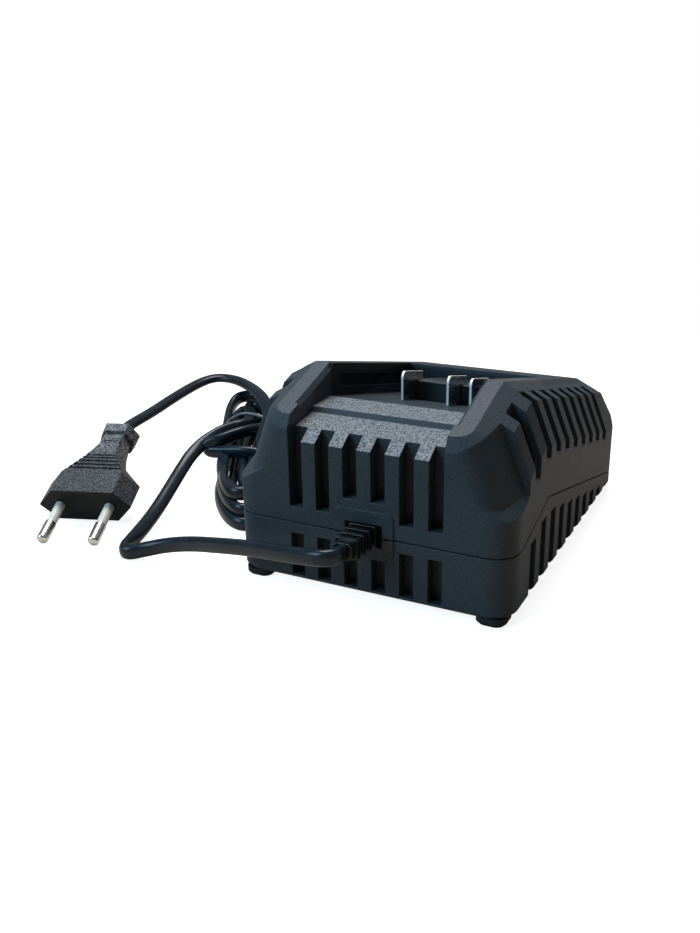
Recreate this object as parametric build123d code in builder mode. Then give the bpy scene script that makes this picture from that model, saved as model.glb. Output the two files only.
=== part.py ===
from build123d import *
from math import atan, cos, degrees, hypot, pi, radians, sin, tan
import os

os.makedirs("parts", exist_ok=True)

# Slide-in battery charger. Frame: origin on the table below the middle of the housing, +X to the right as
# seen from the cable side, +Y from the cable side to the low end, +Z up. All sizes in millimetres.
# Setbacks are measured from the cable-side face, heights from the table.

# Housing envelope
housing_width = 92.0
housing_depth = 129.0
foot_height = 2.8
corner_radius = 7.8
wall = 2.4
seam_gap = 0.5
seam_gap_depth = 0.6

# Side view: two slopes meet at the ridge
rail_front_height = 55.9
ridge_setback = 30.5
ridge_height = 65.6
rear_slope = 0.24
lean_setback = 119.5
lean_height = 24.0

# Seam between the two shells, flat at the cable side, then up to a knee and down again
seam_front_height = 22.5
seam_rise_setback = 9.3
seam_knee_setback = 35.4
seam_knee_height = 29.7
seam_rear_slope = 0.249

# Flanks: two bevels run along both long sides
bevel_top_half_width = 31.6
bevel_fold_half_width = 40.6
bevel_fold_drop = 4.9
bevel_foot_drop = 18.4
rail_chamfer_setback = 2.2
rail_chamfer_flare = 0.95
rail_corner_radius = 4.6
rail_trim_depth = 8.0

# Front corners: a tapered tower stands inside each corner, above a sloping ledge
tower_depth = 14.7
tower_top_height = 66.0
tower_foot_height = 26.0
tower_front_half_width = 30.2
tower_front_taper = 0.33
tower_back_half_width = 33.0
tower_back_taper = 0.43
tower_radius = 9.0
ledge_point = (37.4, 0.0, 36.8)
ledge_normal = (0.52, -0.33, 0.79)

# Battery bay between the rails
bay_half_width = 25.3
bay_back_setback = 92.0
ramp_front_height = 48.9
ramp_break_setback = 4.9
ramp_break_height = 52.0
step_foot_setback = 15.2
step_foot_height = 53.5
step_top_setback = 15.9
step_height = 55.2
step_back_setback = 27.9
floor_skin = 2.8
flank_skin_share = 0.7
bottom_chamfer = 1.0
undercut_depth = 2.6
undercut_height = 4.0
undercut_lift = 3.2
rail_edge_chamfer = 1.4
rail_edge_start = 7.4

# Cable-side grooves
groove_pitch = 9.2
groove_width = 4.6
groove_depth = 4.9
groove_count = 6
groove_foot_height = 27.4
groove_foot_height_middle = 33.2
lower_groove_foot = 4.2
lower_groove_top = 18.5
lower_groove_top_middle = 14.7
lower_groove_depth = 4.0

# Vents in the long sides
vent_width = 5.4
upper_vent_start = 22.1
upper_vent_pitch = 10.7
upper_vent_count = 9
upper_vent_lift = 13.2
upper_vent_margin = 4.6
lower_vent_start = 20.8
lower_vent_pitch = 10.43
lower_vent_count = 10
lower_vent_drop = 5.0
lower_vent_depth = 4.0

# Cord outlet
outlet_height = 22.7
outlet_width = 12.2
outlet_opening_height = 7.2
outlet_recess = 2.0
pad_width = 19.4
pad_top = 30.4
pad_foot = 15.6
pad_proud = 0.4
pad_radius = 2.2
neck_width = 9.6
neck_height = 5.4
relief_clearance = 0.15
relief_reach = 14.0
relief_fins = 4
relief_fin = 1.6
relief_fin_pitch = 3.4
relief_first_fin_setback = 0.2
relief_first_fin = (8.8, 6.9)
relief_last_fin = (7.2, 6.6)
relief_core = (6.0, 4.6)
relief_end_block = 3.4
relief_end = (5.9, 5.4)
relief_flange = (14.0, 10.0)
relief_flange_thickness = 2.0
rib_thickness = 1.6
rib_width = 22.0
rib_notch = 9.0
rib_notch_depth = 3.0

# Terminal block and contact blades
block_left = -10.0
block_right = 19.0
block_front_setback = 57.0
block_height = 7.0
block_chamfer = 0.5
blade_places = (-8.0, 8.0, 15.8)
blade_thickness = 0.8
blade_front_setback = 46.0
blade_height = 10.0
blade_root = 6.0
blade_corner = 2.0
blade_clearance = 0.1
blade_tail_setback = 58.5
blade_tail_width = 4.0
blade_tail_length = 8.0

# Inside
cavity_front_setback = 8.8
board_top = 11.6
board_thickness = 1.6
board_half_width = 31.0
board_front_setback = 26.0
board_rear_margin = 23.0
screw_x = 30.0
screw_front_setback = 20.0
screw_rear_margin = 16.0
boss_radius = 3.6
boss_joint_height = 9.6
screw_radius = 1.45
screw_hole_radius = 1.5
screw_head_radius = 2.8
screw_head_height = 2.2
counterbore_radius = 3.1
screw_seat_height = 6.4
screw_length = 12.0
screw_recess_width = 0.9
screw_recess_length = 3.2
board_post_radius = 2.6
board_post_x = 27.0
board_post_margin = 8.0
small_screw_radius = 1.0
small_screw_hole_radius = 1.05
small_screw_head_radius = 2.0
small_screw_head_height = 1.4
small_screw_length = 5.5
terminal_screw_places = ((0.0, 75.0), (12.0, 75.0))
lip_height = 1.5
lip_thickness = 1.0
lip_clearance = 0.15

# Parts on the circuit board: place across, setback, then sizes
capacitor_place = (-16.0, 40.0)
capacitor_radius = 8.0
capacitor_height = 26.0
choke_place = (4.0, 44.0)
choke_radius = 7.5
choke_hole_radius = 3.5
choke_height = 8.0
fuse_place = (20.0, 31.0)
fuse_radius = 4.2
fuse_height = 8.0
rectifier_place = (20.0, 43.0)
rectifier_size = (9.0, 7.0, 5.0)
transformer_place = (0.0, 76.0)
transformer_width = 30.0
transformer_depth = 24.0
transformer_height = 21.0
transformer_leg = 5.0
winding_gap = 0.3
heat_sink_place = (-22.5, 76.0)
heat_sink_thickness = 2.0
heat_sink_length = 24.0
heat_sink_height = 20.0
transistor_size = (4.5, 10.0, 15.0)
output_capacitor_place = (22.0, 76.0)
output_capacitor_radius = 5.0
output_capacitor_height = 20.0
lead_radius = 0.9
lead_spread = 3.6
lead_board_setback = 56.0
mains_lead_board_setback = 29.5

# Rubber feet
foot_width = 9.4
foot_length = 10.4
foot_x = 39.4
foot_inset = 5.9
foot_radius = 3.4
foot_chamfer = 0.8

# Mains cord and its plug; routes are (x, setback, height)
cord_width = 5.2
cord_radius = cord_width / 2
outlet_route = [
    (0.0, -17.0, 22.8),
    (-2.0, -19.6, 22.8),
    (-5.6, -20.0, 22.4),
    (-12.4, -18.4, 21.0),
    (-21.8, -15.6, 19.0),
    (-33.0, -12.2, 16.7),
    (-47.5, -8.0, 13.0),
    (-61.0, -4.2, 9.4),
    (-72.5, -2.8, 6.0),
    (-80.2, -4.6, 3.6),
    (-85.2, -7.8, 2.7),
    (-88.6, -5.8, 2.7),
    (-89.8, 0.8, 2.9),
    (-92.8, 12.6, 3.8),
    (-95.6, 24.0, 5.8),
    (-98.4, 35.5, 8.9),
    (-101.0, 46.0, 11.8),
    (-102.4, 55.5, 15.2),
    (-100.4, 63.5, 18.8),
    (-95.0, 69.0, 21.4),
    (-88.6, 71.2, 22.4),
    (-83.4, 70.2, 20.4),
    (-81.2, 67.6, 16.4),
]
plug_route = [
    (-85.0, 84.5, 16.0),
    (-86.0, 87.0, 20.2),
    (-90.4, 93.6, 24.6),
    (-99.0, 102.5, 26.8),
    (-110.0, 109.9, 27.8),
    (-117.4, 112.7, 28.6),
    (-124.2, 113.4, 28.8),
    (-129.0, 111.0, 28.8),
    (-131.9, 105.8, 28.0),
    (-133.3, 97.0, 26.7),
    (-133.7, 84.3, 25.1),
    (-133.4, 72.6, 23.6),
]
plug_route_straight = 3.0
plug_face_centre = (-117.3, 8.9, 7.8)
plug_heading = -71.0
plug_dip = 18.0
plug_length = 45.0
plug_sections = [
    (0.0, 17.3, 11.5, 6.5),
    (11.8, 17.3, 11.5, 6.5),
    (21.0, 9.2, 6.7, 6.2),
    (25.0, 7.8, 4.9, 6.0),
    (31.0, 6.8, 3.9, 5.0),
    (38.5, 4.8, 3.6, 4.2),
]
collar_sections = [
    (38.5, 7.0, 4.2, 5.5),
    (43.0, 8.0, 4.6, 5.9),
]
plug_tail_radius = 3.4
grip_setbacks = (14.3, 16.5, 18.7, 20.7, 22.4)
grip_width = 0.9
grip_floor = 5.6
neck_slot_setback = 33.0
neck_slot_size = (5.5, 0.8)
neck_slot_floor = 4.3
pin_radius = 2.0
pin_core_radius = 1.5
pin_tip_radius = 1.2
pin_length = 19.0
pin_spacing = 18.6
pin_sleeve_radius = 1.8
pin_sleeve_length = 10.0
pin_sleeve_root = 3.0
pin_root = 8.0
pin_clearance = 0.05

# Spare cord, folded to and fro and tied
hank_height = 17.0
hank_width = 28.0
hank_edge_radius = 3.0
hank_near = (-70.0, 38.0)
hank_far = (-99.0, 98.0)
tie_share = 0.68
tie_radius = 0.8

front = -(housing_depth - pad_proud) / 2
rear = front + housing_depth
half_width = housing_width / 2
board_back_setback = housing_depth - board_rear_margin
rail_slope = (ridge_height - rail_front_height) / ridge_setback
ridge_y = front + ridge_setback
far_away = 90.0


def behind(setback):
    """Y of a place a given distance behind the cable-side face."""
    return front + setback


def top_height(setback):
    """Height of the rail tops and of the sloping rear panel."""
    if setback < ridge_setback:
        return rail_front_height + rail_slope * setback
    return ridge_height - rear_slope * (setback - ridge_setback)


def seam_height(setback):
    """Height of the seam between the two shells."""
    if setback <= seam_rise_setback:
        return seam_front_height
    if setback <= seam_knee_setback:
        rise = (seam_knee_height - seam_front_height) / (seam_knee_setback - seam_rise_setback)
        return seam_front_height + rise * (setback - seam_rise_setback)
    return seam_knee_height - seam_rear_slope * (setback - seam_knee_setback)


def bay_floor_height(setback):
    """Height of the contact floor behind the step."""
    return step_height - rear_slope * (setback - step_back_setback)


def side_profile(points, x=0.0):
    """A closed outline in the side view, from (setback, height) pairs."""
    with BuildSketch(Plane.YZ.offset(x)) as outline:
        with BuildLine():
            Polyline([(behind(setback), height) for setback, height in points], close=True)
        make_face()
    return outline.sketch


def cut_flanks(inset, drop):
    """Cuts both bevels along the rails and along the rear panel, on both sides."""
    top = ridge_height - drop
    with BuildSketch(Plane.XZ.offset(-ridge_y)) as flanks:
        with BuildLine():
            Polyline(
                (bevel_top_half_width - inset, top + far_away),
                (bevel_top_half_width - inset, top),
                (bevel_fold_half_width - inset, top - bevel_fold_drop),
                (half_width - inset, top - bevel_foot_drop),
                (half_width + far_away, top - bevel_foot_drop),
                (half_width + far_away, top + far_away),
                close=True,
            )
        make_face()
        mirror(about=Plane.YZ)
    extrude(flanks.sketch, amount=1.5 * housing_depth, dir=(0, 1, -rear_slope), mode=Mode.SUBTRACT)
    extrude(flanks.sketch, amount=1.5 * housing_depth, dir=(0, -1, -rail_slope), mode=Mode.SUBTRACT)


def screw_places():
    """X and Y of the four screws that hold the shells together."""
    setbacks = (screw_front_setback, housing_depth - screw_rear_margin)
    return [(side * screw_x, behind(setback)) for side in (-1, 1) for setback in setbacks]


def board_post_places():
    """X and Y of the four posts under the circuit board."""
    setbacks = (board_front_setback + board_post_margin, board_back_setback - board_post_margin)
    return [(side * board_post_x, behind(setback)) for side in (-1, 1) for setback in setbacks]


def groove_places():
    """X of each cable-side groove, and whether the cord outlet shortens it."""
    middle = (groove_count - 1) / 2
    return [((i - middle) * groove_pitch, abs(i - middle) < 1) for i in range(groove_count)]


def write(builder, name):
    builder.part.label = name
    export_step(builder.part, f"parts/{name}.step")


# ---------------------------------------------------------------- whole outside form

rail_angle = atan(rail_slope)
rear_angle = atan(rear_slope)
rail_plane = Plane(
    origin=(0, front, rail_front_height), x_dir=(1, 0, 0), z_dir=(0, -sin(rail_angle), cos(rail_angle))
)
floor_plane = Plane(
    origin=(0, behind(step_back_setback), step_height),
    x_dir=(1, 0, 0),
    z_dir=(0, sin(rear_angle), cos(rear_angle)),
)
bevel_flare = (bevel_fold_half_width - bevel_top_half_width) / (bevel_fold_drop * cos(rail_angle))
lean_plane = Plane(
    origin=(0, behind(lean_setback), top_height(lean_setback)),
    x_dir=(1, 0, 0),
    z_dir=(0, top_height(lean_setback) - lean_height, housing_depth - lean_setback),
)

# Roof over the rails: a rounded front edge whose chamfer turns the corner into the side bevel
with BuildPart() as rail_roof:
    for trim in (0.0, rail_trim_depth):
        with BuildSketch(rail_plane.offset(-trim)) as roof_outline:
            near_flare = rail_chamfer_flare * trim
            near_edge = rail_chamfer_setback - near_flare
            with Locations((0, (near_edge + far_away) / 2)):
                Rectangle(2 * (bevel_top_half_width + bevel_flare * trim), far_away - near_edge)
            fillet(roof_outline.vertices().group_by(Axis.Y)[0], rail_corner_radius + near_flare)
    loft(ruled=True)

with BuildPart() as rail_trim:
    with BuildSketch(rail_plane.offset(-rail_trim_depth)):
        with Locations((0, far_away / 2 - 20)):
            Rectangle(housing_width + 20, far_away)
    extrude(amount=rail_trim_depth + 5)
    add(rail_roof.part, mode=Mode.SUBTRACT)
    split(bisect_by=Plane.XZ.offset(-ridge_y), keep=Keep.TOP)


def corner_scoops(margin):
    """The space outside both tapered towers and above the ledges, grown all round by a margin."""
    with BuildPart() as tower:
        for height in (tower_foot_height - 10, tower_top_height):
            drop = tower_top_height - height
            front_reach = tower_front_half_width + tower_front_taper * drop - margin
            back_reach = tower_back_half_width + tower_back_taper * drop - margin
            with BuildSketch(Plane.XY.offset(height)) as tower_plan:
                with BuildLine():
                    Polyline(
                        (0, front),
                        (front_reach, front),
                        (2 * back_reach - front_reach, behind(2 * tower_depth)),
                        (0, behind(2 * tower_depth)),
                        close=True,
                    )
                make_face()
                front_corner = tower_plan.vertices().group_by(Axis.Y)[0].sort_by(Axis.X)[-1:]
                fillet(front_corner, tower_radius)
        loft(ruled=True)
    ledge_plane = Plane(
        origin=(ledge_point[0], behind(ledge_point[1]), ledge_point[2]), z_dir=ledge_normal
    )
    with BuildPart() as scoops:
        with BuildSketch(Plane.XY.offset(tower_foot_height - 10)):
            with Locations((half_width / 2 + 20, behind((tower_depth + margin) / 2 - 5))):
                Rectangle(half_width, tower_depth + margin + 10)
        extrude(amount=tower_top_height - tower_foot_height + 10)
        add(tower.part, mode=Mode.SUBTRACT)
        split(bisect_by=ledge_plane.offset(-margin), keep=Keep.TOP)
        mirror(about=Plane.YZ)
    return scoops.part


with BuildPart() as envelope:
    outline = side_profile([
        (0, foot_height),
        (0, rail_front_height),
        (ridge_setback, ridge_height),
        (housing_depth, top_height(housing_depth)),
        (housing_depth, foot_height),
    ])
    extrude(outline, amount=half_width, both=True)
    fillet(envelope.edges().filter_by(Axis.Z), corner_radius)
    cut_flanks(0, 0)
    split(bisect_by=lean_plane, keep=Keep.BOTTOM)
    add(rail_trim.part, mode=Mode.SUBTRACT)
    add(corner_scoops(0), mode=Mode.SUBTRACT)
    chamfer(envelope.faces().sort_by(Axis.Z)[0].edges(), bottom_chamfer)

with BuildPart() as above_seam:
    outline = side_profile([
        (-20, seam_front_height),
        (seam_rise_setback, seam_front_height),
        (seam_knee_setback, seam_knee_height),
        (housing_depth + 20, seam_height(housing_depth + 20)),
        (housing_depth + 20, far_away),
        (-20, far_away),
    ])
    extrude(outline, amount=housing_width, both=True)

# Hollow inside both shells: a low space below the bay and a tall one on each side of it
roof_skin = wall / cos(rail_angle)
back_wall = bay_back_setback + wall
inner_rear = housing_depth - wall
with BuildPart() as cavity:
    outline = side_profile([
        (cavity_front_setback, foot_height + wall),
        (cavity_front_setback, ramp_break_height - 2 * wall),
        (step_foot_setback, step_foot_height - floor_skin),
        (step_back_setback, step_height - floor_skin),
        (back_wall, bay_floor_height(back_wall) - floor_skin),
        (back_wall, top_height(back_wall) - floor_skin),
        (inner_rear, top_height(inner_rear) - floor_skin),
        (inner_rear, foot_height + wall),
    ])
    extrude(outline, amount=half_width - wall, both=True)
    tall_start = tower_depth + wall
    bay_wall = bay_half_width + undercut_depth + wall
    outline = side_profile([
        (tall_start, seam_front_height),
        (tall_start, top_height(tall_start) - roof_skin),
        (ridge_setback, ridge_height - roof_skin),
        (inner_rear, top_height(inner_rear) - roof_skin),
        (inner_rear, foot_height + wall),
    ], x=bay_wall)
    extrude(outline, amount=half_width - wall - bay_wall)
    mirror(about=Plane.YZ)
    with BuildSketch(Plane.XY):
        with Locations((0, behind((inner_rear + cavity_front_setback) / 2))):
            RectangleRounded(
                housing_width - 2 * wall, inner_rear - cavity_front_setback, corner_radius - wall
            )
    extrude(amount=far_away, mode=Mode.INTERSECT)
    cut_flanks(wall * flank_skin_share, wall)
    split(bisect_by=lean_plane.offset(-wall), keep=Keep.BOTTOM)
    add(corner_scoops(wall), mode=Mode.SUBTRACT)

# Battery bay: ramp, step and sloping contact floor, with an undercut along each rail
with BuildPart() as bay:
    outline = side_profile([
        (-5, ramp_front_height),
        (0, ramp_front_height),
        (ramp_break_setback, ramp_break_height),
        (step_foot_setback, step_foot_height),
        (step_top_setback, step_height),
        (step_back_setback, step_height),
        (bay_back_setback, bay_floor_height(bay_back_setback)),
        (bay_back_setback, far_away),
        (-5, far_away),
    ])
    extrude(outline, amount=bay_half_width, both=True)
    undercut_start = ridge_setback + undercut_height
    outline = side_profile([
        (undercut_start, bay_floor_height(undercut_start) + undercut_lift),
        (bay_back_setback, bay_floor_height(bay_back_setback) + undercut_lift),
        (bay_back_setback, bay_floor_height(bay_back_setback) + undercut_lift + undercut_height),
        (undercut_start, bay_floor_height(undercut_start) + undercut_lift + undercut_height),
    ])
    extrude(outline, amount=bay_half_width + undercut_depth, both=True)
    edge_top = top_height(rail_edge_start)
    with BuildSketch(Plane.XZ.offset(-behind(rail_edge_start))) as edge_bevel:
        with BuildLine():
            Polyline(
                (0, edge_top - rail_edge_chamfer),
                (bay_half_width, edge_top - rail_edge_chamfer),
                (bay_half_width + rail_edge_chamfer, edge_top),
                (bay_half_width + rail_edge_chamfer, edge_top + 5),
                (0, edge_top + 5),
                close=True,
            )
        make_face()
        mirror(about=Plane.YZ)
    slant = hypot(1, rail_slope)
    extrude(edge_bevel.sketch, amount=(ridge_setback - rail_edge_start) * slant, dir=(0, 1, rail_slope))

# Cord outlet: a recess in the face and a narrower way through the wall
with BuildPart() as outlet:
    with BuildSketch(Plane.XZ.offset(-front + 5)):
        with Locations((0, outlet_height)):
            Rectangle(outlet_width, outlet_opening_height)
    extrude(amount=-(outlet_recess + 5))
    with BuildSketch(Plane.XZ.offset(-front)):
        with Locations((0, outlet_height)):
            Rectangle(neck_width + 2 * relief_clearance, neck_height + 2 * relief_clearance)
    extrude(amount=-(cavity_front_setback + 1))

with BuildPart() as housing_form:
    add(envelope.part)
    with BuildSketch(Plane.XZ.offset(-front)):
        with Locations((0, (pad_top + pad_foot) / 2)):
            RectangleRounded(pad_width, pad_top - pad_foot, pad_radius)
    extrude(amount=pad_proud)

# Columns that carry the screws between the shells
with BuildPart() as upper_columns:
    with BuildSketch(Plane.XY.offset(boss_joint_height)):
        with Locations(screw_places()):
            Circle(boss_radius)
    extrude(amount=ridge_height)

with BuildPart() as lower_columns:
    with BuildSketch(Plane.XY.offset(foot_height)):
        with Locations(screw_places()):
            Circle(boss_radius)
    extrude(amount=boss_joint_height - foot_height)
    with BuildSketch(Plane.XY.offset(foot_height)):
        with Locations(board_post_places()):
            Circle(board_post_radius)
    extrude(amount=board_top - board_thickness - foot_height)
    with BuildSketch(Plane.XY.offset(foot_height)):
        with Locations((0, behind(cavity_front_setback + relief_flange_thickness + rib_thickness / 2))):
            Rectangle(rib_width, rib_thickness)
    extrude(amount=seam_front_height - foot_height)


def lip_ring(clearance):
    """A low ring that stands on the seam, just inside the walls."""
    inner_length = inner_rear - cavity_front_setback
    reach = 2 * (lip_thickness + clearance)
    with BuildPart() as ring:
        with BuildSketch(Plane.XY):
            with Locations((0, behind((inner_rear + cavity_front_setback) / 2))):
                RectangleRounded(
                    housing_width - 2 * wall + reach, inner_length + reach, corner_radius - wall + reach / 2
                )
                RectangleRounded(
                    housing_width - 2 * wall, inner_length, corner_radius - wall, mode=Mode.SUBTRACT
                )
        extrude(amount=ridge_height)
        add(above_seam.part, mode=Mode.INTERSECT)
        add(above_seam.part.moved(Location((0, 0, lip_height + clearance))), mode=Mode.SUBTRACT)
    return ring.part


def groove(x, foot, top, depth):
    """Cuts one upright groove into the cable-side face."""
    with Locations((x, front - pad_proud + (depth + pad_proud) / 2, (foot + top) / 2)):
        Box(groove_width, depth + pad_proud, top - foot, mode=Mode.SUBTRACT)


# ---------------------------------------------------------------- housing shells

with BuildPart() as upper_hollow:
    add(cavity.part)
    add(upper_columns.part, mode=Mode.SUBTRACT)

with BuildPart() as upper_housing:
    add(housing_form.part)
    add(above_seam.part, mode=Mode.INTERSECT)
    add(upper_hollow.part, mode=Mode.SUBTRACT)
    add(lip_ring(lip_clearance), mode=Mode.SUBTRACT)
    add(bay.part, mode=Mode.SUBTRACT)
    add(outlet.part, mode=Mode.SUBTRACT)
    for x, shortened in groove_places():
        foot = groove_foot_height_middle if shortened else groove_foot_height
        groove(x, foot, ridge_height, groove_depth)
    for i in range(upper_vent_count):
        setback = upper_vent_start + i * upper_vent_pitch
        sill = seam_height(setback) + upper_vent_lift
        inner_end = bevel_top_half_width + upper_vent_margin
        for side in (-1, 1):
            with Locations((side * (inner_end + far_away / 2), behind(setback), sill + far_away / 2)):
                Box(far_away, vent_width, far_away, mode=Mode.SUBTRACT)
    with BuildSketch(Plane.XY.offset(boss_joint_height)):
        with Locations(screw_places()):
            Circle(boss_radius)
    extrude(amount=seam_knee_height - boss_joint_height)
    with BuildSketch(Plane.XY.offset(boss_joint_height)):
        with Locations(screw_places()):
            Circle(screw_hole_radius)
    extrude(amount=screw_length, mode=Mode.SUBTRACT)
    for x in blade_places:
        tail_setback = blade_tail_setback + blade_tail_width / 2
        with Locations((x, behind(tail_setback), bay_floor_height(tail_setback))):
            Box(
                blade_thickness + 2 * blade_clearance,
                blade_tail_width + 2 * blade_clearance,
                4 * floor_skin,
                mode=Mode.SUBTRACT,
            )
    for x, setback in terminal_screw_places:
        along = (setback - step_back_setback) / cos(rear_angle)
        with Locations(floor_plane.offset(-floor_skin) * Pos(x, along, 0)):
            Cylinder(small_screw_hole_radius, 4 * floor_skin, mode=Mode.SUBTRACT)

write(upper_housing, "upper_housing")

with BuildPart() as lower_hollow:
    add(cavity.part)
    add(lower_columns.part, mode=Mode.SUBTRACT)

with BuildPart() as parting_groove:
    add(above_seam.part.moved(Location((0, 0, -seam_gap))))
    with BuildSketch(Plane.XY):
        with Locations((0, behind(housing_depth / 2))):
            RectangleRounded(
                housing_width - 2 * seam_gap_depth,
                housing_depth - 2 * seam_gap_depth,
                corner_radius - seam_gap_depth,
            )
    extrude(amount=far_away, mode=Mode.SUBTRACT)

with BuildPart() as lower_housing:
    add(housing_form.part)
    add(above_seam.part, mode=Mode.SUBTRACT)
    add(parting_groove.part, mode=Mode.SUBTRACT)
    add(lower_hollow.part, mode=Mode.SUBTRACT)
    add(lip_ring(0))
    add(outlet.part, mode=Mode.SUBTRACT)
    for x, shortened in groove_places():
        top = lower_groove_top_middle if shortened else lower_groove_top
        groove(x, lower_groove_foot, top, lower_groove_depth)
    for i in range(lower_vent_count):
        setback = lower_vent_start + i * lower_vent_pitch
        vent_top = seam_height(setback) - lower_vent_drop
        for side in (-1, 1):
            with Locations((side * (half_width + far_away / 2 - lower_vent_depth), behind(setback), vent_top / 2)):
                Box(far_away, vent_width, vent_top, mode=Mode.SUBTRACT)
    notch_place = cavity_front_setback + relief_flange_thickness + rib_thickness / 2
    with Locations((0, behind(notch_place), seam_front_height)):
        Box(rib_notch, rib_thickness, 2 * rib_notch_depth, mode=Mode.SUBTRACT)
    with BuildSketch(Plane.XY):
        with Locations(screw_places()):
            Circle(counterbore_radius)
    extrude(amount=screw_seat_height, mode=Mode.SUBTRACT)
    with BuildSketch(Plane.XY):
        with Locations(screw_places()):
            Circle(screw_hole_radius)
    extrude(amount=boss_joint_height, mode=Mode.SUBTRACT)
    with BuildSketch(Plane.XY.offset(board_top - board_thickness)):
        with Locations(board_post_places()):
            Circle(small_screw_hole_radius)
    extrude(amount=-small_screw_length + board_thickness, mode=Mode.SUBTRACT)

write(lower_housing, "lower_housing")

with BuildPart() as housing_screws:
    with BuildSketch(Plane.XY.offset(screw_seat_height)):
        with Locations(screw_places()):
            Circle(screw_head_radius)
    extrude(amount=-screw_head_height)
    with BuildSketch(Plane.XY.offset(screw_seat_height)):
        with Locations(screw_places()):
            Circle(screw_radius)
    extrude(amount=screw_length)
    with BuildSketch(Plane.XY.offset(screw_seat_height - screw_head_height)):
        with Locations(screw_places()):
            Rectangle(screw_recess_width, screw_recess_length)
            Rectangle(screw_recess_length, screw_recess_width)
    extrude(amount=screw_head_height / 2, mode=Mode.SUBTRACT)

write(housing_screws, "housing_screws")

with BuildPart() as rubber_feet:
    with BuildSketch(Plane.XY):
        for setback in (foot_inset, housing_depth - foot_inset):
            with Locations((-foot_x, behind(setback)), (foot_x, behind(setback))):
                RectangleRounded(foot_width, foot_length, foot_radius)
    extrude(amount=foot_height)
    chamfer(rubber_feet.faces().group_by(Axis.Z)[0].edges(), foot_chamfer)

write(rubber_feet, "rubber_feet")

# ---------------------------------------------------------------- contacts in the battery bay


def blade_outline(x, margin):
    """Side view of one contact blade, set on the bay floor, with its tail through the floor."""
    back = block_front_setback + blade_root
    tail_middle = blade_tail_setback + blade_tail_width / 2
    tail_foot = bay_floor_height(tail_middle) - blade_tail_length
    outline = side_profile([
        (blade_front_setback, bay_floor_height(blade_front_setback)),
        (blade_front_setback, bay_floor_height(blade_front_setback) + blade_height),
        (back + margin, bay_floor_height(back) + blade_height),
        (back + margin, bay_floor_height(back)),
        (blade_tail_setback + blade_tail_width, bay_floor_height(blade_tail_setback + blade_tail_width)),
        (blade_tail_setback + blade_tail_width, tail_foot),
        (blade_tail_setback, tail_foot),
        (blade_tail_setback, bay_floor_height(blade_tail_setback)),
    ], x=x - blade_thickness / 2 - margin)
    return outline


def contact_blade(x):
    with BuildPart() as blade:
        extrude(blade_outline(x, 0), amount=blade_thickness)
        fillet(blade.edges().filter_by(Axis.X).group_by(Axis.Y)[0].sort_by(Axis.Z)[-1:], blade_corner)
    return blade


with BuildPart() as terminal_block:
    outline = side_profile([
        (block_front_setback, bay_floor_height(block_front_setback)),
        (block_front_setback, bay_floor_height(block_front_setback) + block_height),
        (bay_back_setback, bay_floor_height(bay_back_setback) + block_height),
        (bay_back_setback, bay_floor_height(bay_back_setback)),
    ], x=block_left)
    extrude(outline, amount=block_right - block_left)
    chamfer(terminal_block.edges().filter_by(Axis.X).group_by(Axis.Z)[-1], block_chamfer)
    for x in blade_places:
        extrude(
            blade_outline(x, blade_clearance),
            amount=blade_thickness + 2 * blade_clearance,
            mode=Mode.SUBTRACT,
        )
    for x, setback in terminal_screw_places:
        along = (setback - step_back_setback) / cos(rear_angle)
        with Locations(floor_plane * Pos(x, along, 0)):
            Cylinder(small_screw_hole_radius, 2 * (small_screw_length - floor_skin) + 1, mode=Mode.SUBTRACT)

write(terminal_block, "terminal_block")

for blade_name, x in zip(("left", "middle", "right"), blade_places):
    write(contact_blade(x), f"contact_blade_{blade_name}")

with BuildPart() as terminal_screws:
    skin = floor_skin * cos(rear_angle)
    for x, setback in terminal_screw_places:
        along = (setback - step_back_setback) / cos(rear_angle)
        with BuildSketch(floor_plane.offset(-skin)):
            with Locations((x, along)):
                Circle(small_screw_head_radius)
        extrude(amount=-small_screw_head_height)
        with BuildSketch(floor_plane.offset(-skin)):
            with Locations((x, along)):
                Circle(small_screw_radius)
        extrude(amount=small_screw_length)

write(terminal_screws, "terminal_screws")

# ---------------------------------------------------------------- circuit board and the parts on it


def at(place):
    """XY of a place given as (x, setback)."""
    return (place[0], behind(place[1]))


def upright_cylinder(place, radius, height):
    with BuildPart() as body:
        with BuildSketch(Plane.XY.offset(board_top)):
            with Locations(at(place)):
                Circle(radius)
        extrude(amount=height)
    return body


with BuildPart() as circuit_board:
    with BuildSketch(Plane.XY.offset(board_top - board_thickness)):
        with Locations((0, behind((board_front_setback + board_back_setback) / 2))):
            Rectangle(2 * board_half_width, board_back_setback - board_front_setback)
        with Locations(board_post_places()):
            Circle(small_screw_hole_radius, mode=Mode.SUBTRACT)
    extrude(amount=board_thickness)

write(circuit_board, "circuit_board")

with BuildPart() as board_screws:
    with BuildSketch(Plane.XY.offset(board_top)):
        with Locations(board_post_places()):
            Circle(small_screw_head_radius)
    extrude(amount=small_screw_head_height)
    with BuildSketch(Plane.XY.offset(board_top)):
        with Locations(board_post_places()):
            Circle(small_screw_radius)
    extrude(amount=-small_screw_length)

write(board_screws, "board_screws")

input_capacitor = upright_cylinder(capacitor_place, capacitor_radius, capacitor_height)
write(input_capacitor, "input_capacitor")

output_capacitor = upright_cylinder(output_capacitor_place, output_capacitor_radius, output_capacitor_height)
write(output_capacitor, "output_capacitor")

fuse = upright_cylinder(fuse_place, fuse_radius, fuse_height)
write(fuse, "fuse")

with BuildPart() as line_choke:
    with BuildSketch(Plane.XY.offset(board_top)):
        with Locations(at(choke_place)):
            Circle(choke_radius)
            Circle(choke_hole_radius, mode=Mode.SUBTRACT)
    extrude(amount=choke_height)
    fillet(line_choke.edges().filter_by(GeomType.CIRCLE).group_by(Axis.Z)[-1], 1.2)

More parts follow.
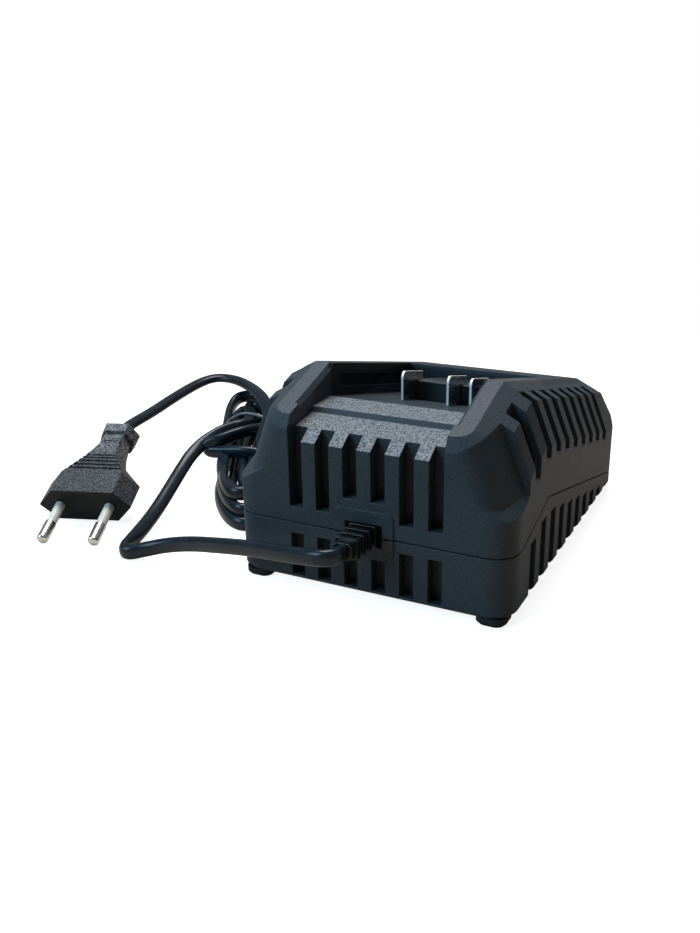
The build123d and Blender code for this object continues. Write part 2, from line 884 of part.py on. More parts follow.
write(line_choke, "line_choke")

with BuildPart() as bridge_rectifier:
    with BuildSketch(Plane.XY.offset(board_top)):
        with Locations(at(rectifier_place)):
            Rectangle(rectifier_size[0], rectifier_size[1])
    extrude(amount=rectifier_size[2])

write(bridge_rectifier, "bridge_rectifier")

# Transformer: two outer legs, a centre leg and two yokes, with the winding round the centre leg
window_width = (transformer_width - 4 * transformer_leg) / 2
with BuildPart() as transformer_core:
    with Locations((transformer_place[0], behind(transformer_place[1]), board_top + transformer_height / 2)):
        Box(transformer_width, transformer_depth / 2, transformer_height)
        with Locations((transformer_leg + window_width / 2, 0, 0), (-transformer_leg - window_width / 2, 0, 0)):
            Box(
                window_width,
                transformer_depth / 2,
                transformer_height - 2 * transformer_leg,
                mode=Mode.SUBTRACT,
            )

write(transformer_core, "transformer_core")

with BuildPart() as transformer_winding:
    winding_height = transformer_height - 2 * transformer_leg - 2 * winding_gap
    with Locations((transformer_place[0], behind(transformer_place[1]), board_top + transformer_height / 2)):
        Box(
            2 * transformer_leg + 2 * window_width - 2 * winding_gap,
            transformer_depth,
            winding_height,
        )
        Box(
            2 * transformer_leg + 2 * winding_gap,
            transformer_depth / 2 + 2 * winding_gap,
            winding_height,
            mode=Mode.SUBTRACT,
        )
    fillet(transformer_winding.edges().filter_by(Axis.Z).group_by(Axis.Y)[0], 2.0)
    fillet(transformer_winding.edges().filter_by(Axis.Z).group_by(Axis.Y)[-1], 2.0)

write(transformer_winding, "transformer_winding")

with BuildPart() as heat_sink:
    with BuildSketch(Plane.XY.offset(board_top)):
        with Locations(at(heat_sink_place)):
            Rectangle(heat_sink_thickness, heat_sink_length)
    extrude(amount=heat_sink_height)

write(heat_sink, "heat_sink")

with BuildPart() as switching_transistor:
    body_x = heat_sink_place[0] + heat_sink_thickness / 2 + transistor_size[0] / 2
    with BuildSketch(Plane.XY.offset(board_top)):
        with Locations((body_x, behind(heat_sink_place[1]))):
            Rectangle(transistor_size[0], transistor_size[1])
    extrude(amount=transistor_size[2])

write(switching_transistor, "switching_transistor")


def wire(path, bend):
    """One round insulated wire along a path of corners."""
    with BuildPart() as strand:
        with BuildLine() as line:
            FilletPolyline(*[(x, behind(setback), height) for x, setback, height in path], radius=bend)
        with BuildSketch(Plane(origin=line.line @ 0, z_dir=line.line % 0)):
            Circle(lead_radius)
        sweep()
    return strand.part


with BuildPart() as blade_leads:
    tail_middle = blade_tail_setback + blade_tail_width / 2
    tail_foot = bay_floor_height(tail_middle) - blade_tail_length
    for x in blade_places:
        lead = wire([
            (x, tail_middle, tail_foot),
            (x, tail_middle, tail_foot - 5),
            (x, lead_board_setback, board_top + 5),
            (x, lead_board_setback, board_top),
        ], 3.0)
        add(lead)

write(blade_leads, "blade_leads")

with BuildPart() as mains_leads:
    flange_back = cavity_front_setback + relief_flange_thickness
    for side in (-1, 1):
        lead = wire([
            (side * lead_spread / 2, flange_back, outlet_height),
            (side * lead_spread / 2, flange_back + 8, outlet_height),
            (side * lead_spread, mains_lead_board_setback, board_top + 5),
            (side * lead_spread, mains_lead_board_setback, board_top),
        ], 3.0)
        add(lead)

write(mains_leads, "mains_leads")

# ---------------------------------------------------------------- strain relief at the cord outlet

with BuildPart() as strain_relief:
    with BuildSketch(Plane.XZ.offset(-behind(cavity_front_setback))):
        with Locations((0, outlet_height)):
            RectangleRounded(*relief_flange, 1.0)
    extrude(amount=-relief_flange_thickness)
    with BuildSketch(Plane.XZ.offset(-behind(cavity_front_setback))):
        with Locations((0, outlet_height)):
            RectangleRounded(neck_width, neck_height, 0.8)
    extrude(amount=cavity_front_setback - outlet_recess)
    with BuildSketch(Plane.XZ.offset(-behind(outlet_recess))):
        with Locations((0, outlet_height)):
            RectangleRounded(*relief_core, 1.0)
    extrude(amount=outlet_recess + relief_reach)
    for i in range(relief_fins):
        share = i / (relief_fins - 1)
        fin_width = relief_first_fin[0] + share * (relief_last_fin[0] - relief_first_fin[0])
        fin_height = relief_first_fin[1] + share * (relief_last_fin[1] - relief_first_fin[1])
        fin_back = relief_first_fin_setback - i * relief_fin_pitch
        with BuildSketch(Plane.XZ.offset(-behind(fin_back))):
            with Locations((0, outlet_height)):
                RectangleRounded(fin_width, fin_height, 0.8)
        extrude(amount=relief_fin)
    with BuildSketch(Plane.XZ.offset(-behind(relief_end_block - relief_reach))):
        with Locations((0, outlet_height)):
            RectangleRounded(*relief_end, 1.6)
    extrude(amount=relief_end_block)

write(strain_relief, "strain_relief")

# ---------------------------------------------------------------- mains cord, hank and plug

heading = radians(plug_heading)
dip = radians(plug_dip)
plug_plane = Plane(
    origin=(plug_face_centre[0], behind(plug_face_centre[1]), plug_face_centre[2]),
    x_dir=(-sin(heading), cos(heading), 0),
    z_dir=(cos(heading) * cos(dip), sin(heading) * cos(dip), -sin(dip)),
)


def arc_radii(points):
    """At each bend, the widest arc that still leaves a tenth of the shorter run straight."""
    radii = []
    for before, here, after in zip(points, points[1:], points[2:]):
        run_in = Vector(*here) - Vector(*before)
        run_out = Vector(*after) - Vector(*here)
        half_turn = radians(run_in.get_angle(run_out)) / 2
        radii.append(0.45 * min(run_in.length, run_out.length) / tan(half_turn))
    return radii


def route_points(route):
    return [(x, behind(setback), height) for x, setback, height in route]


def cord_run(points, name):
    """A round tube along straight runs joined by tangent arcs."""
    radii = arc_radii(points)
    with BuildPart() as run:
        with BuildLine() as line:
            FilletPolyline(*points, radius=radii)
        with BuildSketch(Plane(origin=line.line @ 0, z_dir=line.line % 0)):
            Circle(cord_radius)
        sweep()
    length = line.wire().length
    print(name, "length", round(length, 1), "radii", [round(r, 1) for r in radii])
    print(name, "volume share", round(run.part.volume / (pi * cord_radius**2 * length), 4))
    write(run, name)


relief_tip = (0, behind(-relief_reach), outlet_height)
cord_run([relief_tip] + route_points(outlet_route), "cord_from_outlet")
plug_tail = tuple(plug_plane.offset(-plug_length).origin)
plug_straight = tuple(plug_plane.offset(-plug_length - plug_route_straight).origin)
cord_run(route_points(plug_route) + [plug_straight, plug_tail], "cord_to_plug")

hank_reach = hypot(hank_far[0] - hank_near[0], hank_far[1] - hank_near[1])
hank_plane = Plane(
    origin=(
        (hank_near[0] + hank_far[0]) / 2,
        behind((hank_near[1] + hank_far[1]) / 2),
        0,
    ),
    x_dir=(hank_far[0] - hank_near[0], hank_far[1] - hank_near[1], 0),
    z_dir=(0, 0, 1),
)
with BuildPart() as cord_hank:
    with BuildSketch(hank_plane):
        SlotCenterToCenter(hank_reach, hank_width)
    extrude(amount=hank_height)
    top_and_bottom = cord_hank.faces().filter_by(Axis.Z).edges()
    fillet(top_and_bottom, hank_edge_radius)

write(cord_hank, "cord_hank")

with BuildPart() as cord_tie:
    tie_plane = Plane(
        origin=hank_plane.from_local_coords((hank_reach * (tie_share - 0.5), 0, hank_height / 2)),
        x_dir=hank_plane.y_dir,
        z_dir=hank_plane.x_dir,
    )
    with BuildLine(tie_plane) as tie_line:
        tie_path = FilletPolyline(
            (-hank_width / 2, -hank_height / 2 + tie_radius),
            (hank_width / 2, -hank_height / 2 + tie_radius),
            (hank_width / 2, hank_height / 2),
            (-hank_width / 2, hank_height / 2),
            radius=hank_edge_radius,
            close=True,
        )
    with BuildSketch(Plane(origin=tie_line.line @ 0, z_dir=tie_line.line % 0)):
        Circle(tie_radius)
    sweep()

write(cord_tie, "cord_tie")


def plug_loft(sections):
    """Six-sided body through sections of (distance behind the face, half width, half top, half height)."""
    faces = []
    for setback, reach, top, rise in sections:
        with BuildSketch(plug_plane.offset(-setback)) as section:
            with BuildLine():
                Polyline(
                    (reach, 0), (top, rise), (-top, rise), (-reach, 0), (-top, -rise), (top, -rise), close=True
                )
            make_face()
        faces.append(section.sketch.face())
    loft(sections=faces, ruled=True)


with BuildPart() as plug_body:
    plug_loft(plug_sections)
    plug_loft(collar_sections)
    with BuildSketch(plug_plane.offset(-collar_sections[-1][0])):
        Circle(plug_tail_radius)
    extrude(amount=collar_sections[-1][0] - plug_length)
    for setback in grip_setbacks:
        with BuildSketch(plug_plane.offset(-setback)):
            with Locations((0, grip_floor + plug_length / 2), (0, -grip_floor - plug_length / 2)):
                Rectangle(plug_length, plug_length)
        extrude(amount=grip_width / 2, both=True, mode=Mode.SUBTRACT)
    with BuildSketch(plug_plane.offset(-neck_slot_setback)):
        with Locations((0, neck_slot_floor + plug_length / 2)):
            Rectangle(neck_slot_size[0], plug_length)
    extrude(amount=neck_slot_size[1] / 2, both=True, mode=Mode.SUBTRACT)
    pin_places = ((-pin_spacing / 2, 0), (pin_spacing / 2, 0))
    with BuildSketch(plug_plane):
        with Locations(*pin_places):
            Circle(pin_sleeve_radius + pin_clearance)
    extrude(amount=-pin_sleeve_root, mode=Mode.SUBTRACT)
    with BuildSketch(plug_plane):
        with Locations(*pin_places):
            Circle(pin_core_radius + pin_clearance)
    extrude(amount=-pin_root, mode=Mode.SUBTRACT)

write(plug_body, "plug_body")

with BuildPart() as plug_sleeves:
    with BuildSketch(plug_plane.offset(-pin_sleeve_root)):
        with Locations(*pin_places):
            Circle(pin_sleeve_radius)
            Circle(pin_core_radius + pin_clearance, mode=Mode.SUBTRACT)
    extrude(amount=pin_sleeve_root + pin_sleeve_length)

write(plug_sleeves, "plug_sleeves")

with BuildPart() as plug_pins:
    with BuildSketch(plug_plane.offset(-pin_root)):
        with Locations(*pin_places):
            Circle(pin_core_radius)
    extrude(amount=pin_root + pin_sleeve_length)
    with BuildSketch(plug_plane.offset(pin_sleeve_length)):
        with Locations(*pin_places):
            Circle(pin_radius)
    extrude(amount=pin_length - pin_sleeve_length)
    tips = plug_pins.faces().sort_by(Axis(plug_plane.origin, plug_plane.z_dir))[-2:]
    fillet(tips.edges(), pin_tip_radius)

write(plug_pins, "plug_pins")
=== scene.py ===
import math
import bpy
import numpy as np
from mathutils import Matrix, Vector


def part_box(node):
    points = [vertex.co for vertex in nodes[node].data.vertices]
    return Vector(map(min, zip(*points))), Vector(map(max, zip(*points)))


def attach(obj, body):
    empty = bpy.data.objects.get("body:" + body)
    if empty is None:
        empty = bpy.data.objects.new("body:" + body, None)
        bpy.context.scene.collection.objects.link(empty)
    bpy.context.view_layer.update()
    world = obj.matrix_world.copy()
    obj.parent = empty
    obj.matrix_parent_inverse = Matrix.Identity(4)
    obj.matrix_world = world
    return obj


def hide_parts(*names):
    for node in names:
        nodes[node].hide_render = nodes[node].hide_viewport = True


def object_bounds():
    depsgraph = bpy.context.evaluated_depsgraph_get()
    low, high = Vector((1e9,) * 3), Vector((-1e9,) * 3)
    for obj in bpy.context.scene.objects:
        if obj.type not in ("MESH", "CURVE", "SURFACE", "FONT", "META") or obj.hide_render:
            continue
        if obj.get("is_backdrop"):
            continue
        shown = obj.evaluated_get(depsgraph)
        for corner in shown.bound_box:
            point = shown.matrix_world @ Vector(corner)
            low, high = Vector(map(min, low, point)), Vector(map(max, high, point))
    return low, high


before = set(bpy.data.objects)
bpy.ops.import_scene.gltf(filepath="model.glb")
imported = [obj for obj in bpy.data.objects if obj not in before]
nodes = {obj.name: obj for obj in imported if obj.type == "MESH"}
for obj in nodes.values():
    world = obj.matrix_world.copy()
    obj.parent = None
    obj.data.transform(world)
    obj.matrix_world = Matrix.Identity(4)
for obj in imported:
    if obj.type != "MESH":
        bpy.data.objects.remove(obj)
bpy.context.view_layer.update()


# ------------------------------------------------------------------ camera
# Stands at the cable side, to the right and above, with a 38 mm lens on a 36 mm sensor. It is
# turned by a small roll about its own line of sight.

eye = (0.11947, -0.30561, 0.14474)
ahead = np.array([-0.4276, 0.8337, -0.3495])
level = np.array([0.8898, 0.4564, 0.0])
upward = np.array([-0.1595, 0.3110, 0.9370])
roll = -0.017
right = math.cos(roll) * level + math.sin(roll) * upward
above = math.cos(roll) * upward - math.sin(roll) * level

camera = bpy.data.objects.new("camera", bpy.data.cameras.new("camera"))
camera.data.sensor_width = 36.0
camera.data.lens = 38.03
camera.data.clip_start = 0.01
camera.data.clip_end = 20.0
axes_and_place = np.column_stack([right, above, -ahead, eye])
camera.matrix_world = Matrix(np.vstack([axes_and_place, [0, 0, 0, 1]]).tolist())
bpy.context.scene.collection.objects.link(camera)
bpy.context.scene.camera = camera


# ------------------------------------------------------------------ mains cord
# Flat twin cord with a shiny black sheath of soft PVC. It leaves the relief, folds back on the
# table, is coiled into a hank with two wraps round its waist, and ends in the plug.

front = -0.0643  # the housing's front face, in metres along y
cord_wide = 0.0052
cord_thin = 0.0036
outlet_end = 0.185  # the first length of the cord, up to the hank
arc_length = 0.125  # the last length, from the hank to the plug
wrap_length = 0.18  # the length that crosses the hank and goes round its waist

# In millimetres, with y from the front face: from the relief along the table, through the fold
# and up to the hank
outlet_route = np.array([
    (0.0, -14.0, 22.7),
    (0.0, -17.0, 22.8),
    (-2.0, -19.6, 22.8),
    (-5.6, -20.0, 22.4),
    (-12.4, -18.4, 21.0),
    (-21.8, -15.6, 19.0),
    (-33.0, -12.2, 16.7),
    (-47.5, -8.0, 13.0),
    (-61.0, -4.2, 9.4),
    (-72.5, -2.8, 6.0),
    (-80.2, -4.6, 3.6),
    (-85.2, -7.8, 2.7),
    (-88.6, -5.8, 2.7),
    (-89.8, 0.8, 2.9),
    (-92.8, 12.6, 3.8),
    (-95.6, 24.0, 5.8),
    (-98.4, 35.5, 8.9),
    (-101.0, 46.0, 11.8),
    (-102.4, 55.5, 15.2),
    (-100.4, 63.5, 18.8),
    (-96.1, 71.3, 21.4),
    (-90.7, 75.5, 22.4),
])
# From the hank in a low arc to the plug
plug_route = np.array([
    (-86.0, 87.0, 20.2),
    (-90.4, 93.6, 24.6),
    (-99.0, 102.5, 26.8),
    (-110.0, 109.9, 27.8),
    (-117.4, 112.7, 28.6),
    (-124.2, 113.4, 28.8),
    (-129.0, 111.0, 28.8),
    (-131.9, 105.8, 28.0),
    (-133.3, 97.0, 26.7),
    (-133.7, 84.3, 25.1),
    (-133.4, 72.6, 23.6),
    (-132.16, 52.06, 22.63),
    (-131.23, 49.37, 21.71),
])

hank_middle = np.array([-84.5, 68.0])
hank_along = np.array([-29.0, 60.0]) / np.hypot(29.0, 60.0)
hank_across = np.array([hank_along[1], -hank_along[0]])


def hank_points(along, across, height):
    """Points of the hank from its own axes: along it, across it and above the table."""
    plan = hank_middle + np.outer(along, hank_along) + np.outer(across, hank_across)
    return np.column_stack([plan, height])


def in_metres(points):
    """The shared frame's metres, from millimetres with y measured from the front face."""
    return (points + np.array([0, front * 1000, 0])) / 1000


# On the hank's axes: over the hank and back in a flat Z, then down its far side and under it
waist_wraps = np.array([
    (20.0, 5.0, 21.6),
    (20.6, 11.0, 19.6),
    (18.4, 16.0, 17.6),
    (13.4, 16.6, 17.6),
    (10.4, 11.4, 19.4),
    (9.2, 4.0, 21.0),
    (3.0, -4.0, 21.2),
    (0.2, -11.0, 19.2),
    (0.8, -16.6, 17.4),
    (1.0, -16.2, 14.2),
    (-1.6, -10.4, 14.9),
    (-4.8, -3.5, 16.2),
    (-6.4, 3.7, 16.2),
    (-7.0, 10.4, 14.2),
    (-6.8, 15.4, 10.4),
    (-6.0, 14.0, 4.6),
    (-4.4, 7.0, 2.8),
    (-1.0, -1.0, 2.8),
    (5.0, -4.0, 2.8),
    (10.6, -0.4, 2.8),
    (11.0, 6.6, 2.8),
    (6.4, 11.4, 3.6),
])

# Each turn: reach to the near end and the far end, half width on the left and the right, heights
# at the near end, on the left, at the far end and on the right, and the power of its far end
turns = [
    (46.0, 43.0, 12.6, 12.0, 2.8, 4.0, 5.0, 5.0, 1.0),
    (43.5, 44.0, 11.4, 7.6, 7.2, 9.0, 10.6, 7.0, 0.8),
    (38.5, 47.0, 7.0, 3.6, 5.0, 5.4, 15.6, 11.0, 0.8),
    (35.0, 54.0, 11.6, 8.0, 10.4, 13.0, 22.0, 16.0, 0.62),
    (40.0, 46.0, 9.6, 2.0, 12.4, 12.6, 17.4, 12.6, 0.8),
    (31.0, 49.0, 1.9, 9.6, 11.4, 12.0, 19.0, 13.0, 0.8),
]
points_a_turn = 14
slim_width = 15.0


def signed_power(values, power):
    """The size of each value raised to a power, with the value's own sign."""
    return np.sign(values) * np.abs(values) ** power


def turn_points(near, far, left, right_side, z_near, z_left, z_far, z_right, far_power):
    """One long loop. Along is a cosine and across a sine, each raised to a power: below 1 it makes
    the loop's end squarer, and a slim loop has squarer ends, so that it bends less sharply. The
    loop narrows under the wraps, bears right at the near end and left at the far end, and its
    height is a mean of the four stated heights, weighted by the squares of sine and cosine."""
    angle = np.linspace(0.5 * np.pi, 2.5 * np.pi, points_a_turn, endpoint=False)
    swing, side = np.cos(angle), np.sin(angle)
    slim = left + right_side < slim_width
    along_power = np.where(swing > 0, far_power, 0.7 if slim else 0.95)
    across_power = 0.62 if slim else np.minimum(along_power, 0.95)
    along = np.where(swing < 0, near, far) * signed_power(swing, along_power)
    across = np.where(side < 0, left, right_side) * signed_power(side, across_power)
    across *= 1 - 0.16 * np.exp(-(((along - 4) / 12) ** 2))
    across += 0.085 * np.clip(-along, 0, None) - 0.16 * np.clip(along - 20, 0, None)
    weights = np.clip(np.column_stack([-swing, -side, swing, side]), 0, 1) ** 2
    height = weights @ np.array([z_near, z_left, z_far, z_right])
    return hank_points(along, across, height)


def centreline(points, name):
    """Points along an open NURBS spline with these control points."""
    curve = bpy.data.curves.new(name, "CURVE")
    curve.dimensions = "3D"
    curve.resolution_u = 10
    spline = curve.splines.new("NURBS")
    spline.points.add(len(points) - 1)
    spline.points.foreach_set("co", np.column_stack([points, np.ones(len(points))]).ravel())
    spline.order_u = 3
    spline.use_endpoint_u = True
    guide = bpy.data.objects.new(name, curve)
    bpy.context.scene.collection.objects.link(guide)
    bpy.context.view_layer.update()
    line = bpy.data.meshes.new_from_object(guide)
    path = np.zeros(len(line.vertices) * 3)
    line.vertices.foreach_get("co", path)
    bpy.data.objects.remove(guide)
    bpy.data.meshes.remove(line)
    bpy.data.curves.remove(curve)
    return path.reshape(-1, 3)


def unit(vectors):
    """Each vector divided by its own length."""
    return vectors / np.linalg.norm(vectors, axis=-1, keepdims=True)


def tube_mesh(name, path, profile, first, second):
    """A closed profile carried along a path, with both ends capped: each point is the path's
    point plus the profile's two coordinates along two directions across the path."""
    surface = path[:, None] + sum(
        size[None, :, None] * side[:, None] for size, side in zip(profile, (first, second))
    )
    rows, columns = surface.shape[:2]
    index = np.arange(rows * columns).reshape(rows, columns)
    ring = np.roll(index, -1, axis=1)
    quads = np.stack([index[:-1], ring[:-1], ring[1:], index[1:]], axis=-1).reshape(-1, 4)
    faces = [*quads.tolist(), index[0, ::-1].tolist(), index[-1].tolist()]
    mesh = bpy.data.meshes.new(name)
    mesh.from_pydata(surface.reshape(-1, 3).tolist(), [], faces)
    mesh.polygons.foreach_set("use_smooth", np.ones(len(faces), bool))
    mesh.update()
    piece = bpy.data.objects.new(name, mesh)
    bpy.context.scene.collection.objects.link(piece)
    return piece


route = in_metres(np.vstack([
    outlet_route,
    hank_points(*waist_wraps.T),
    *[turn_points(*turn) for turn in turns],
    plug_route,
]))
cord_path = centreline(route, "cord_line")
run = np.concatenate([[0], np.cumsum(np.linalg.norm(np.diff(cord_path, axis=0), axis=1))])
tangent = unit(np.gradient(cord_path, axis=0))


def share_between(start, end, soft=0.02):
    """1 along this stretch of the cord and 0 elsewhere, with a soft change inside its ends."""
    return np.clip(np.minimum((run - start) / soft, (end - run) / soft), 0, 1)[:, None]


def across_path(side):
    """The part of each direction that is square to the path, made one long."""
    return unit(side - (side * tangent).sum(1, keepdims=True) * tangent)


# The flat side stands upright up to the hank, apart from the run that leans over after the fold.
# It leans along the hank in the wraps and lies level on the way to the plug
lean_start = 0.100
lean = np.array([-1.6, -0.5, -0.3])
wrap_lean = -0.25 * np.append(hank_along, 0.0)
upright_side = (
    np.array([0, 0, 1.0])
    + share_between(outlet_end, outlet_end + wrap_length) * wrap_lean
    + share_between(lean_start, outlet_end) * lean
)
level_side = unit(np.cross(tangent, [0, 0, 1.0]) + 1e-9)
lying = np.clip((run - run[-1] + arc_length) / 0.03, 0, 1)[:, None]
wide_side = across_path((1 - lying) * upright_side + lying * level_side)
for _ in range(12):
    before, here, after = wide_side[:-2], wide_side[1:-1], wide_side[2:]
    wide_side[1:-1] = unit(0.25 * before + 0.5 * here + 0.25 * after)
wide_side = across_path(wide_side)
thin_side = np.cross(tangent, wide_side)

# The cord's section is a circle's sine and cosine raised to a power below 1, so a little boxy
angle = np.linspace(0, 2 * np.pi, 20, endpoint=False)
section = (
    cord_wide / 2 * signed_power(np.cos(angle), 0.85),
    cord_thin / 2 * signed_power(np.sin(angle), 0.85),
)
mains_cord = tube_mesh("mains_cord", cord_path, section, wide_side, thin_side)
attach(mains_cord, "root")
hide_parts("cord_from_outlet", "cord_hank", "cord_to_plug")


class Value:
    """A node's output that takes part in Python arithmetic; every operator adds one Math node."""

    def __init__(self, kit, socket):
        self.kit = kit
        self.socket = socket

    def math(self, operation, other=None, swap=False):
        pair = (other, self) if swap else (self, other)
        values = {i: v for i, v in enumerate(pair) if v is not None}
        return self.kit.node("ShaderNodeMath", {"operation": operation}, values)

    def __add__(self, other):
        return self.math("ADD", other)

    __radd__ = __add__

    def __sub__(self, other):
        return self.math("SUBTRACT", other)

    def __rsub__(self, other):
        return self.math("SUBTRACT", other, swap=True)

    def __mul__(self, other):
        return self.math("MULTIPLY", other)

    __rmul__ = __mul__

    def __neg__(self):
        return self.math("MULTIPLY", -1)

    def __abs__(self):
        return self.math("ABSOLUTE")

    def __gt__(self, other):
        return self.math("GREATER_THAN", other)

    def __lt__(self, other):
        return self.math("LESS_THAN", other)


class Nodes:
    """A node tree; all its nodes come from one method."""

    def __init__(self, tree):
        self.tree = tree

    def node(self, kind, settings=(), values=(), output=0):
        """Any node: its settings first, then its values or links."""
        made = self.tree.nodes.new(kind)
        for name, value in dict(settings).items():
            if name == "stops":
                ramp = made.color_ramp
                for extra in value[len(ramp.elements):]:
                    ramp.elements.new(extra[0])
                for element, (place, shade) in zip(ramp.elements, value):
                    element.position = place
                    element.color = (*shade, 1)
            else:
                setattr(made, name, value)
        for socket, value in dict(values).items():
            if isinstance(value, Value):
                self.tree.links.new(value.socket, made.inputs[socket])
            else:
                made.inputs[socket].default_value = value
        return Value(self, made.outputs[output]) if made.outputs else None

    def place(self):
        return self.node("ShaderNodeTexCoord", output="Object")

    def parts(self, vector):
        """The three numbers of a vector."""
        split = self.node("ShaderNodeSeparateXYZ", (), {0: vector}).socket.node
        return [Value(self, split.outputs[i]) for i in range(3)]

    def ramp(self, value, *stops):
        return self.node("ShaderNodeValToRGB", {"stops": stops}, {"Fac": value})


class Finish(Nodes):
    """One procedural material with a Principled surface."""

    def __init__(self, name, **fixed):
        self.material = bpy.data.materials.new(name)
        self.material.use_nodes = True
        super().__init__(self.material.node_tree)
        self.surface = self.tree.nodes["Principled BSDF"]
        self.set(**fixed)

    def set(self, **sockets):
        """Numbers and colours go straight onto the surface's sockets, and values are linked."""
        for socket, value in sockets.items():
            name = socket.replace("_", " ")
            if isinstance(value, Value):
                self.tree.links.new(value.socket, self.surface.inputs[name])
            else:
                self.surface.inputs[name].default_value = value

    def noise(self, scale, detail=2.0, roughness=0.5, stretch=(1, 1, 1)):
        spot = self.node("ShaderNodeMapping", (), {"Vector": self.place(), "Scale": stretch})
        values = {"Vector": spot, "Scale": scale, "Detail": detail, "Roughness": roughness}
        return self.node("ShaderNodeTexNoise", (), values)

    def mix(self, share, one, two):
        """From one colour, where the share is 0, to the other."""
        ends = [shade if isinstance(shade, Value) else (*shade, 1) for shade in (one, two)]
        values = {"Factor": share, 6: ends[0], 7: ends[1]}
        return self.node("ShaderNodeMix", {"data_type": "RGBA"}, values, output=2)

    def bump(self, height, strength, distance, under=None):
        values = {"Height": height, "Strength": strength, "Distance": distance}
        if under is not None:
            values["Normal"] = under
        return self.node("ShaderNodeBump", (), values)


def paint(finish, *pieces):
    """Gives pieces, or CAD nodes by their names, this finish alone."""
    for piece in pieces:
        target = nodes[piece] if isinstance(piece, str) else piece
        target.data.materials.clear()
        target.data.materials.append(finish.material)


sheath = Finish("cord_sheath", IOR=1.52, Specular_IOR_Level=0.32)
drag = sheath.noise(260, 3.0, 0.6)
sheath.set(
    Base_Color=sheath.ramp(drag, (0.3, (0.006, 0.013, 0.020)), (0.75, (0.012, 0.025, 0.037))),
    Roughness=0.16 + 0.16 * drag,
    Normal=sheath.bump(sheath.noise(420, 2.0), 0.15, 0.0001),
)
paint(sheath, mains_cord)


# ------------------------------------------------------------------ cord tie
# Thin wire covered in grey plastic, drawn tight round the hank and over its top strands. The
# cord, the tie and the plug are handled as one piece that leaves the housing at the relief.

tie_radius = 0.0006
tie_ring = np.array([
    (19.0, -13.6, 13.0),
    (19.0, -12.0, 19.6),
    (18.0, -5.0, 24.8),
    (14.0, 2.0, 25.6),
    (11.0, 9.0, 23.4),
    (10.0, 14.6, 17.0),
    (11.0, 15.4, 7.0),
    (13.0, 9.0, 1.0),
    (16.0, -3.0, 0.8),
    (18.0, -11.5, 2.0),
    (19.0, -13.6, 6.0),
    (19.0, -13.6, 13.0),
])
tie_path = centreline(in_metres(hank_points(*tie_ring.T)), "tie_line")
tie_tangent = unit(np.gradient(tie_path, axis=0))
tie_out = unit(np.cross(tie_tangent, np.append(hank_along, 0.0)))
tie_side = np.cross(tie_tangent, tie_out)
angle = np.linspace(0, 2 * np.pi, 10, endpoint=False)
section = (tie_radius * np.cos(angle), tie_radius * np.sin(angle))
hank_tie = tube_mesh("hank_tie", tie_path, section, tie_out, tie_side)
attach(hank_tie, "root")
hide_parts("cord_tie")

covered = Finish("tie_wire", IOR=1.5)
rub = covered.noise(900, 3.0)
covered.set(
    Base_Color=covered.ramp(rub, (0.3, (0.07, 0.08, 0.09)), (0.7, (0.20, 0.22, 0.24))),
    Roughness=0.26 + 0.1 * rub,
)
paint(covered, hank_tie)


# ------------------------------------------------------------------ housing shells
# Two halves moulded in charcoal glass-filled plastic with a fine spark-eroded skin. The ramp and
# step where the battery slides in are eroded coarser, and the bright tips of the ramp's coarse
# grains are painted glints. Four screws hold the halves.


def smoothstep(finish, value, low, high):
    """0 below low and 1 above high, with a soft change between."""
    return finish.node(
        "ShaderNodeMapRange",
        {"interpolation_type": "SMOOTHSTEP"},
        {"Value": value, "From Min": low, "From Max": high, "To Min": 0.0, "To Max": 1.0},
    )


def eased_edges(finish, radius):
    """The normal of a surface whose sharp edges are rounded off by this radius."""
    return finish.node("ShaderNodeBevel", {"samples": 6}, {"Radius": radius})


def facing(finish):
    """How far the surface faces sideways, backwards and up, from -1 to 1."""
    return finish.parts(finish.node("ShaderNodeNewGeometry", output="True Normal"))


def top_edge_highlight(finish, radius):
    """1 just below an edge that is rounded off towards a face above it, where a highlight is
    painted: there the rounded normal points further up than the face does."""
    lift = finish.parts(eased_edges(finish, radius))[2] - facing(finish)[2]
    return smoothstep(finish, lift, 0.08, 0.5)


def openness(finish, reach):
    """0 in seams and corners where light can't get in, and 1 on open faces."""
    clear = finish.node(
        "ShaderNodeAmbientOcclusion", {"samples": 6}, {"Distance": reach}, output="AO"
    )
    return smoothstep(finish, clear, 0.15, 0.75)


def speckle(finish, scale):
    """A random value from 0 to 1 for each small grain of a moulded skin."""
    grains = finish.node(
        "ShaderNodeTexVoronoi", (), {"Vector": finish.place(), "Scale": scale}, output="Color"
    )
    return finish.parts(grains)[0]


half_ramp = 0.02535  # of the coarse ramp and step, from the middle
ramp_back = front + 0.0285
ramp_foot = 0.0460
step_back = front + 0.0165
step_foot = 0.0530
half_floor = 0.0345  # of the contact floor behind the ramp, out to the guides
floor_top = 0.0560
guide_foot = 0.0495

charcoal = (0.3, (0.025, 0.038, 0.049)), (0.75, (0.033, 0.048, 0.061))
grain_tip = (0.10, 0.115, 0.13)
painted_edge_highlight = (0.16, 0.19, 0.22)
painted_guide_shade = (0.010, 0.014, 0.019)
painted_back_wall_light = (0.10, 0.11, 0.12)
rail_top_light = (0.13, 0.14, 0.155)
step_grey = (0.075, 0.085, 0.10)
coarse_grain_and_glints = (0.0, (0.01, 0.02, 0.03)), (1.0, (0.41, 0.435, 0.46))
painted_crevice_shade = (0.003, 0.004, 0.005)

shell = Finish("housing_plastic", IOR=1.46, Specular_IOR_Level=0.2)
x, y, z = shell.parts(shell.place())
across = abs(x)
sideways, backwards, up = facing(shell)
grains = speckle(shell, 3300)
cloud = shell.noise(60, 3.0)
scuff = shell.noise(900, 4.0, 0.7, (1, 0.25, 1))

